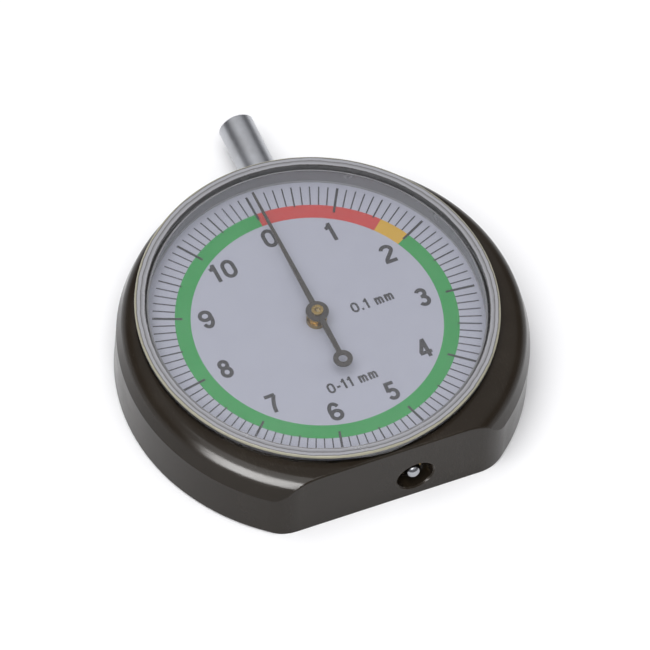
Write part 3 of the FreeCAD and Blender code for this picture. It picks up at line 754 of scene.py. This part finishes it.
def settle(piece: bpy.types.Object, body: Body, slot: Slot, *nodes: str) -> bpy.types.Object:
    """Put a finished piece on its body and hide the frame nodes that it stands for.

    Args:
        piece: The piece, already in place.
        body: The body it moves with.
        slot: The record's slot that its finish comes from; not used.
        *nodes: Frame nodes that it stands for.

    Returns:
        The same piece.
    """
    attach(piece, body.value)
    if nodes:
        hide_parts(*nodes)
    LOG.info("%s rides on %s", piece.name, body.value)
    return piece


def lathe(outline: list[Point2], steps: int,
          zone: Callable[[float, float], int]) -> bmesh.types.BMesh:
    """Turn a closed outline round the Z axis.

    Args:
        outline: (radius, height) points of a closed loop; a radius of 0 lies on the axis.
        steps: Facets round the axis.
        zone: Picks a face's material slot from its mean radius and height.

    Returns:
        The working mesh.
    """
    mesh = bmesh.new()
    rings: list[list[bmesh.types.BMVert]] = []
    for radius, height in outline:
        if radius == 0.0:
            rings.append([mesh.verts.new((0.0, 0.0, height))] * steps)
            continue
        rings.append([mesh.verts.new((radius * math.cos(TURN * k / steps),
                                      radius * math.sin(TURN * k / steps), height))
                      for k in range(steps)])
    for index, ring in enumerate(rings):
        after = rings[(index + 1) % len(rings)]
        middle = [(a + b) / 2 for a, b in zip(outline[index],
                                              outline[(index + 1) % len(rings)])]
        for k in range(steps):
            corners = [ring[k], ring[(k + 1) % steps], after[(k + 1) % steps], after[k]]
            corners = list(dict.fromkeys(corners))
            if len(corners) > 2:
                face = mesh.faces.new(corners)
                face.material_index = zone(*middle)
    return mesh


def arc(centre: Point2, radii: Point2, start: float, end: float, steps: int) -> list[Point2]:
    """Return points along an elliptic arc.

    Args:
        centre: The ellipse's centre.
        radii: Its two half axes.
        start: First angle, in degrees.
        end: Last angle, in degrees.
        steps: Spans between the first and the last point.

    Returns:
        The points, both ends included.
    """
    angles = [math.radians(start + (end - start) * k / steps) for k in range(steps + 1)]
    return [(centre[0] + radii[0] * math.cos(a), centre[1] + radii[1] * math.sin(a))
            for a in angles]


class Slabs:
    """Thin flat slabs of ink, gathered into one mesh."""

    step: ClassVar[float] = 0.001 * MM
    heights: ClassVar[int] = 4

    def __init__(self, floor: float, thickness: float, turn: float, shift: Point2) -> None:
        """Start an empty sheet.

        Args:
            floor: Height of the slabs' undersides.
            thickness: How far the ink stands up.
            turn: How far the print is turned about the axis, in radians.
            shift: How far the print's centre is off the axis.
        """
        self.shift = Vector(shift)
        self.mesh = bmesh.new()
        self.levels = (floor, floor + thickness)
        self.laid = 0
        self.spin = Matrix.Rotation(turn, 2)

    def strip(self, left: list[Point2], right: list[Point2]) -> None:
        """Fill the space between two equally long rows of points with a closed slab.

        Crossing slabs differ a little in height, so that no two tops lie in one plane.

        Args:
            left: Points along one side.
            right: Points along the other side.
        """
        rings: list[list[bmesh.types.BMVert]] = []
        low = self.levels[0]
        high = self.levels[1] + self.step * (self.laid % self.heights)
        self.laid += 1
        for first, second in zip(left, right):
            sides = [self.spin @ Vector(first) + self.shift,
                     self.spin @ Vector(second) + self.shift]
            rings.append([self.mesh.verts.new((*sides[0], low)),
                          self.mesh.verts.new((*sides[1], low)),
                          self.mesh.verts.new((*sides[1], high)),
                          self.mesh.verts.new((*sides[0], high))])
        for ring, after in zip(rings, rings[1:]):
            for k in range(4):
                following = (k + 1) % 4
                self.mesh.faces.new((ring[k], ring[following], after[following], after[k]))
        self.mesh.faces.new(rings[0])
        self.mesh.faces.new(rings[-1])

    def sector(self, inner: float, outer: float, start: float, end: float) -> None:
        """Add a ring sector between two radii and two angles in degrees."""
        steps = max(8, round(abs(end - start)))
        centre = (0.0, 0.0)
        self.strip(arc(centre, (inner, inner), start, end, steps),
                   arc(centre, (outer, outer), start, end, steps))

    def ray(self, inner: float, outer: float, angle: float, width: float) -> None:
        """Add a straight mark that points at the axis, at an angle in degrees."""
        way = Vector((math.cos(math.radians(angle)), math.sin(math.radians(angle))))
        side = Vector((-way.y, way.x)) * width / 2
        self.strip([tuple(way * inner + side), tuple(way * outer + side)],
                   [tuple(way * inner - side), tuple(way * outer - side)])

    def stroke(self, points: list[Point2], width: float) -> None:
        """Add an even pen stroke with square ends along a row of points."""
        spots = [Vector(point) for point in points]
        left: list[Point2] = []
        right: list[Point2] = []
        for index, spot in enumerate(spots):
            before = spot - spots[index - 1] if index else spots[1] - spot
            after = spots[index + 1] - spot if index + 1 < len(spots) else before
            way = (before.normalized() + after.normalized()).normalized()
            reach = width / 2 / max(0.6, way.dot(before.normalized()))
            side = Vector((-way.y, way.x)) * reach
            left.append(tuple(spot + side))
            right.append(tuple(spot - side))
        self.strip(left, right)


@dataclass(frozen=True)
class Lettering:
    """Plain bold figures drawn with one pen, in units of their own height."""

    pen: float = 0.18
    half: float = 0.235
    gap: float = 0.16

    def strokes(self, sign: str) -> list[list[Point2]]:
        """Return the pen strokes of a sign, centred on X = 0 and standing on Y = 0."""
        low, high = self.pen / 2, 1.0 - self.pen / 2
        half = self.half
        if sign == "0":
            side = 0.27
            top = arc((0.0, high - side), (half, side), 0.0, 180.0, 14)
            foot = arc((0.0, low + side), (half, side), 180.0, 360.0, 14)
            return [top + foot + [(half, high - side)]]
        if sign == "1":
            return [[(0.06, 0.0), (0.06, 1.0)],
                    [(-0.17, 0.74), (-0.06, 0.765), (0.01, 0.83), (0.045, 0.92)]]
        if sign == "2":
            bow = arc((0.0, 0.705), (half, high - 0.705), 168.0, -38.0, 16)
            return [bow + [(-0.16, 0.22), (-0.20, low)], [(-0.285, low), (0.285, low)]]
        if sign == "3":
            upper = arc((-0.005, 0.725), (0.185, high - 0.725), 155.0, -82.0, 14)
            lower = arc((0.0, 0.305), (0.205, 0.305 - low), 82.0, -158.0, 16)
            return [upper, lower, [(-0.07, 0.528), (0.03, 0.528)]]
        if sign == "4":
            return [[(0.10, 0.0), (0.10, 1.0)], [(-0.29, 0.265), (0.28, 0.265)],
                    [(0.075, 0.93), (-0.235, 0.29)]]
        if sign == "5":
            bowl = arc((0.0, 0.325), (0.205, 0.325 - low), 138.0, -158.0, 16)
            return [[(0.235, high), (-0.12, high), (-0.165, 0.47)], bowl]
        if sign == "6":
            bowl = arc((0.0, 0.31), (half, 0.31 - low), 0.0, 360.0, 24)
            back = arc((0.0, 0.50), (half, high - 0.50), 196.0, 32.0, 16)
            return [bowl, back]
        if sign == "7":
            return [[(-0.26, high), (0.235, high)],
                    [(0.20, 0.90), (0.09, 0.69), (0.0, 0.44), (-0.05, 0.20), (-0.065, 0.0)]]
        if sign == "8":
            return [arc((0.0, 0.725), (0.175, high - 0.725), 0.0, 360.0, 24),
                    arc((0.0, 0.31), (0.205, 0.31 - low), 0.0, 360.0, 24)]
        if sign == "9":
            return [[(-x, 1.0 - y) for x, y in row] for row in self.strokes("6")]
        if sign == ".":
            return [[(0.0, 0.0), (0.0, self.pen)]]
        if sign == "-":
            return [[(-0.15, 0.40), (0.15, 0.40)]]
        if sign == "m":
            tall = 0.70
            arches = [[(x, 0.0), (x, 0.44)] + arc((x + 0.135, 0.44), (0.135, tall - 0.44 - low),
                                                  180.0, 0.0, 10) + [(x + 0.27, 0.0)]
                      for x in (-0.27, 0.0)]
            return arches + [[(-0.27, 0.0), (-0.27, tall)]]
        return []

    def width(self, sign: str) -> float:
        """Return a sign's width in units of the height."""
        known = {".": self.pen, "m": 0.54 + self.pen, " ": 0.22, "1": 0.40, "-": 0.30}
        return known.get(sign, 2 * self.half + self.pen)

    def write(self, slabs: Slabs, words: str, centre: Point2, height: float) -> None:
        """Write upright in the print's own frame.

        Args:
            slabs: The sheet that takes the strokes.
            words: The signs.
            centre: Middle of the line of signs.
            height: Height of the figures.
        """
        total = sum(self.width(sign) for sign in words) + self.gap * (len(words) - 1)
        left = -total / 2
        for sign in words:
            middle = left + self.width(sign) / 2
            for row in self.strokes(sign):
                slabs.stroke([(centre[0] + (x + middle) * height,
                               centre[1] + (y - 0.5) * height) for x, y in row],
                             self.pen * height)
            left += self.width(sign) + self.gap


# ------------------------------------------------------------------ sub-assemblies


@dataclass
class FrameNodes:
    """The frame's own nodes, dressed in the finish of their record slot."""

    record: dict[str, Any]
    nodes: dict[str, bpy.types.Object]

    def dress(self) -> None:
        """Give every node the finish that its slot names."""
        for part in self.record["subparts"]:
            piece = self.nodes[part["node"]]
            finish = SLOT_FINISH[Slot(part["material_slot"])]
            piece.data.materials.clear()
            piece.data.materials.append(finish.material())
            LOG.info("%s wears %s", piece.name, finish.name)


@dataclass
class DialFace:
    """Print on the dial: coloured band, 110 divisions, figures and the unit."""

    top: float = field(default_factory=lambda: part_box("dial_plate")[1].z)
    band_inner: float = 18.05 * MM
    band_outer: float = 20.3 * MM
    mark_outer: float = 23.5 * MM
    minor_inner: float = 20.3 * MM
    half_inner: float = 20.0 * MM
    major_inner: float = 19.2 * MM
    minor_width: float = 0.18 * MM
    half_width: float = 0.22 * MM
    major_width: float = 0.36 * MM
    figure_ring: float = 15.75 * MM
    figure_height: float = 3.2 * MM
    note_height: float = 1.75 * MM
    notes: tuple[tuple[str, Point2], ...] = (("0.1 mm", (8.6 * MM, 0.0)),
                                             ("0-11 mm", (0.0, -11.3 * MM)))
    span: int = 11
    per_unit: int = 10
    lean: float = math.radians(2.5)
    shift: Point2 = (0.10 * MM, -0.12 * MM)
    ink: float = 0.015 * MM
    lift: float = 0.002 * MM
    zones: tuple[tuple[str, float, float, Colour], ...] = (
        ("scale_band_red", 0.0, 1.6, tone(172, 50, 48)),
        ("scale_band_amber", 1.6, 2.0, tone(184, 144, 38)),
        ("scale_band_green", 2.0, 11.0, tone(30, 130, 62)),
    )
    letters: Lettering = Lettering()

    def angle(self, reading: float) -> float:
        """Return the angle in degrees at which a reading is marked."""
        return 90.0 - 360.0 * reading / self.span

    def sheet(self, layer: int) -> Slabs:
        """Start a sheet of ink that rests on the dial and stands a number of layers high."""
        return Slabs(self.top + self.lift, self.ink * layer, self.lean, self.shift)

    def finish_sheet(self, name: str, slabs: Slabs, finish: Finish) -> bpy.types.Object:
        """Turn a sheet into a piece of the dial."""
        return settle(link(name, slabs.mesh, [finish]), Body.CASE, Slot.DIAL)

    def build_band(self) -> None:
        """Print the red, amber and green zones of the band."""
        for name, low, high, colour in self.zones:
            slabs = self.sheet(1)
            slabs.sector(self.band_inner, self.band_outer, self.angle(low), self.angle(high))
            self.finish_sheet(name, slabs, Ink(name + "_ink", colour, amount=0.08))

    def build_marks(self) -> None:
        """Print the division marks in their three weights."""
        sheets = {"division_marks": self.sheet(2), "half_marks": self.sheet(2),
                  "unit_marks": self.sheet(2)}
        for step in range(self.span * self.per_unit):
            angle = self.angle(step / self.per_unit)
            if step % self.per_unit == 0:
                sheets["unit_marks"].ray(self.major_inner, self.mark_outer, angle,
                                         self.major_width)
            elif step % (self.per_unit // 2) == 0:
                sheets["half_marks"].ray(self.half_inner, self.mark_outer, angle,
                                         self.half_width)
            else:
                sheets["division_marks"].ray(self.minor_inner, self.mark_outer, angle,
                                             self.minor_width)
        for name, slabs in sheets.items():
            self.finish_sheet(name, slabs, DARK_PRINT)

    def build_figures(self) -> None:
        """Print the figures 0 to 10, upright, inside the band."""
        slabs = self.sheet(2)
        for value in range(self.span):
            angle = math.radians(self.angle(value))
            self.letters.write(slabs, str(value), (self.figure_ring * math.cos(angle),
                                                   self.figure_ring * math.sin(angle)),
                               self.figure_height)
        self.finish_sheet("scale_figures", slabs, DARK_PRINT)

    def build_notes(self) -> None:
        """Print the plain value of a division and the plain range."""
        slabs = self.sheet(2)
        for words, centre in self.notes:
            self.letters.write(slabs, words, centre, self.note_height)
        self.finish_sheet("scale_notes", slabs, DARK_PRINT)

    def build(self) -> None:
        """Print the whole dial."""
        self.build_band()
        self.build_marks()
        self.build_figures()
        self.build_notes()


@dataclass
class LensCup:
    """Clear cup over the dial, with its thick rim, whose reflections and shade are painted."""

    radius: float = field(default_factory=lambda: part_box("lens")[1].x - 0.15 * MM)
    low: float = field(default_factory=lambda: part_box("lens")[0].z)
    top: float = field(default_factory=lambda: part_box("lens")[1].z)
    seat: float = field(default_factory=lambda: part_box("case_body")[1].z)
    skirt_inner: float = 24.2 * MM
    skirt_outer: float = 25.0 * MM
    window: float = 1.2 * MM
    bevel: float = 0.35 * MM
    fillet: float = 0.3 * MM
    crown: float = 0.25 * MM
    window_share: float = 0.6
    steps: int = 320

    def outline(self) -> list[Point2]:
        """Return the cup's closed section with its rounded corners."""
        under = self.top - self.window
        corner = arc((self.skirt_inner - self.fillet, under - self.fillet),
                     (self.fillet, self.fillet), 90.0, 0.0, 6)
        rim = arc((self.radius - self.bevel, self.top - self.bevel),
                  (self.bevel, self.bevel), 0.0, 90.0, 8)
        return ([(0.0, under)] + corner + [(self.skirt_inner, self.low),
                (self.skirt_outer, self.low), (self.skirt_outer, self.seat),
                (self.radius, self.seat)] + rim
                + [(self.skirt_inner + self.crown, self.top), (0.0, self.top)])

    def zone(self, radius: float, height: float) -> int:
        """Pick the window's finish in the middle and the wall's outside it."""
        outside = radius > self.skirt_outer and height < self.top - self.bevel
        inside = radius < self.skirt_inner * self.window_share
        return 0 if inside or outside else 1

    def build_cup(self) -> None:
        """Turn the cup and put it in place of the frame's lens."""
        # The wall's four colours are painted light: a painted reflection, a painted shade grey, painted dark rings
        # of shade and a painted edge highlight.
        wall = LensWall("lens_wall_painted_light", crown=tone(172, 172, 177), inner=tone(140, 140, 143),
                        line=tone(84, 82, 80), edge=tone(178, 174, 150),
                        inner_radius=self.skirt_inner, outer_radius=self.radius)
        mesh = lathe(self.outline(), self.steps, self.zone)
        settle(link("lens_cup", mesh, [SLOT_FINISH[Slot.LENS], wall]), Body.CASE, Slot.LENS,
               "lens")

    def build(self) -> None:
        """Make the cup."""
        self.build_cup()


@dataclass
class ReturnSpring:
    """Compression spring round the probe, swept at its rest length."""

    wire: float = 0.18 * MM
    coil: float = 1.72 * MM
    turns: float = 9.0
    closed: float = 0.75
    closed_pitch: float = 1.9
    steps_per_turn: int = 36
    sides: int = 10
    low: float = field(default_factory=lambda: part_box("return_spring")[0].y)
    high: float = field(default_factory=lambda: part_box("return_spring")[1].y)
    joint: str = "plunger_slide"

    def axis(self) -> Point2:
        """Return the X and Z of the probe's axis."""
        low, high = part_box("probe")
        return ((low.x + high.x) / 2, (low.z + high.z) / 2)

    def line(self) -> list[Vector]:
        """Return the wire's centre line, with a nearly closed turn at each end."""
        x, z = self.axis()
        steps = round(self.turns * self.steps_per_turn)
        spots: list[Vector] = []
        start, end = self.low + self.wire, self.high - self.wire
        pitch = self.closed_pitch * self.wire
        for step in range(steps + 1):
            turn = self.turns * step / steps
            active = min(max(turn - self.closed, 0.0), self.turns - 2 * self.closed)
            share = active / (self.turns - 2 * self.closed)
            rest = (turn - active - self.closed) / self.closed
            lead = start + pitch + share * (end - start - 2 * pitch)
            spots.append(Vector((x + self.coil * math.cos(TURN * turn),
                                 lead + rest * pitch,
                                 z + self.coil * math.sin(TURN * turn))))
        return spots

    def travel(self) -> float:
        """Return the plunger's whole travel from the frame's joints."""
        found = next(item for item in frame["joints"] if item["name"] == self.joint)
        return max(found["range_m"])

    def build(self) -> None:
        """Sweep the wire along its centre line."""
        spots = self.line()
        x, z = self.axis()
        mesh = bmesh.new()
        rings: list[list[bmesh.types.BMVert]] = []
        sides = self.sides
        for spot in spots:
            out = Vector((spot.x - x, 0.0, spot.z - z)).normalized()
            rings.append([mesh.verts.new(spot + self.wire * (
                out * math.cos(TURN * k / sides)
                + Vector((0.0, 1.0, 0.0)) * math.sin(TURN * k / sides))) for k in range(sides)])
        for ring, after in zip(rings, rings[1:]):
            for k in range(sides):
                following = (k + 1) % sides
                mesh.faces.new((ring[k], ring[following], after[following], after[k]))
        mesh.faces.new(rings[0])
        mesh.faces.new(rings[-1])
        piece = link("spring_coil", mesh, [SLOT_FINISH[Slot.SPRING]])
        settle(piece, Body.CASE, Slot.SPRING, "return_spring")
        length = self.high - self.low
        (length - self.travel()) / length
        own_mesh(piece)


# ------------------------------------------------------------------ studio


@dataclass
class Softbox:
    """A rectangular studio light aimed at the gauge."""

    name: str
    place: Vector
    width: float
    height: float
    radiance: float
    shines_on: tuple[str, ...] = ()

    def build(self) -> None:
        """Add the light, with the power that gives its face this radiance."""
        light = bpy.data.lights.new(self.name, "AREA")
        light.shape = "RECTANGLE"
        light.size = self.width
        light.size_y = self.height
        light.energy = self.radiance * self.width * self.height * math.pi
        lamp = bpy.data.objects.new(self.name, light)
        bpy.context.scene.collection.objects.link(lamp)
        lamp.location = self.place
        lamp.rotation_mode = "QUATERNION"
        lamp.rotation_quaternion = self.place.to_track_quat("Z", "Y")
        lamp.visible_camera = False
        lamp.visible_diffuse = not self.shines_on
        if self.shines_on:
            lit = bpy.data.collections.new(self.name + "_lit")
            for name in self.shines_on:
                lit.objects.link(bpy.data.objects[name])
            lamp.light_linking.receiver_collection = lit
        LOG.info("light %s", self.name)


@dataclass
class Studio:
    """Pale tabletop, soft light and the camera."""

    target: Vector = field(default_factory=lambda: Vector((0.944, -0.943, 9.42)) * MM)
    azimuth: float = math.radians(-27.6)
    elevation: float = math.radians(55.0)
    roll: float = math.radians(5.35)
    view_width: float = 91.96 * MM
    focal: float = 1000.0
    table_half: float = 1.5
    table_gap: float = 0.01 * MM
    clip: Point2 = (0.1, 4.0)
    sky: tuple[tuple[float, Colour], ...] = (
        (0.0, (0.55, 0.55, 0.56, 1.0)), (0.22, (0.16, 0.16, 0.17, 1.0)),
        (0.52, (0.16, 0.16, 0.17, 1.0)), (0.66, (0.62, 0.62, 0.64, 1.0)),
        (1.0, (0.95, 0.95, 0.97, 1.0)))
    lights: tuple[Softbox, ...] = (
        Softbox("overhead_softbox", Vector((-0.25, -0.2, 0.9)), 0.8, 0.8, 3.7),
        Softbox("left_window", Vector((-0.42, -0.30, 0.28)), 0.44, 0.50, 34.0,
                shines_on=("case_body",)),
    )

    def build_table(self) -> None:
        """Lay a wide sheet of pale paper under the gauge."""
        mesh = bmesh.new()
        half = self.table_half
        level = CAD_BOX[0].z - self.table_gap
        corners = [mesh.verts.new((x, y, level))
                   for x, y in ((-half, -half), (half, -half), (half, half), (-half, half))]
        mesh.faces.new(corners)
        table = link("tabletop", mesh, [Tabletop("pale_paper", (0.93, 0.93, 0.935, 1.0))])

    def build_sky(self) -> None:
        """Light the scene by a room that is bright above and dim low down."""
        world = bpy.data.worlds.new("room")
        bpy.context.scene.world = world
        world.use_nodes = True
        graph = Graph(world.node_tree)
        way = graph.add("ShaderNodeTexCoord").outputs["Generated"]
        colour = graph.ramp(graph.parts(way)[2], self.sky)
        graph.tree.links.new(colour, world.node_tree.nodes["Background"].inputs["Color"])

    def build_camera(self) -> None:
        """Place a long-lens camera round the target."""
        side = Vector((math.cos(self.azimuth), math.sin(self.azimuth), 0.0))
        level = math.cos(self.elevation)
        back = Vector((math.sin(self.azimuth) * level, -math.cos(self.azimuth) * level,
                       math.sin(self.elevation)))
        right = side * math.cos(self.roll) + back.cross(side) * math.sin(self.roll)
        turn = Matrix((right, back.cross(right), back)).transposed().to_4x4()
        lens = bpy.data.cameras.new("camera")
        camera = bpy.data.objects.new("camera", lens)
        bpy.context.scene.collection.objects.link(camera)
        lens.lens = self.focal
        distance = self.view_width * self.focal / lens.sensor_width
        camera.matrix_world = Matrix.Translation(self.target + back * distance) @ turn
        lens.clip_start, lens.clip_end = (distance * share for share in self.clip)
        bpy.context.scene.camera = camera
        bpy.context.scene.view_settings.view_transform = "Standard"

    def build(self) -> None:
        """Set up table, room, lights and camera."""
        self.build_table()
        self.build_sky()
        for light in self.lights:
            light.build()
        self.build_camera()


def main() -> None:
    """Build the gauge's pieces and the studio in order."""
    logging.basicConfig(level=logging.INFO, format="%(message)s")
    FrameNodes(frame["record"], frame["nodes"]).dress()
    DialFace().build()
    LensCup().build()
    ReturnSpring().build()
    Studio().build()


if __name__ == "__main__":
    main()
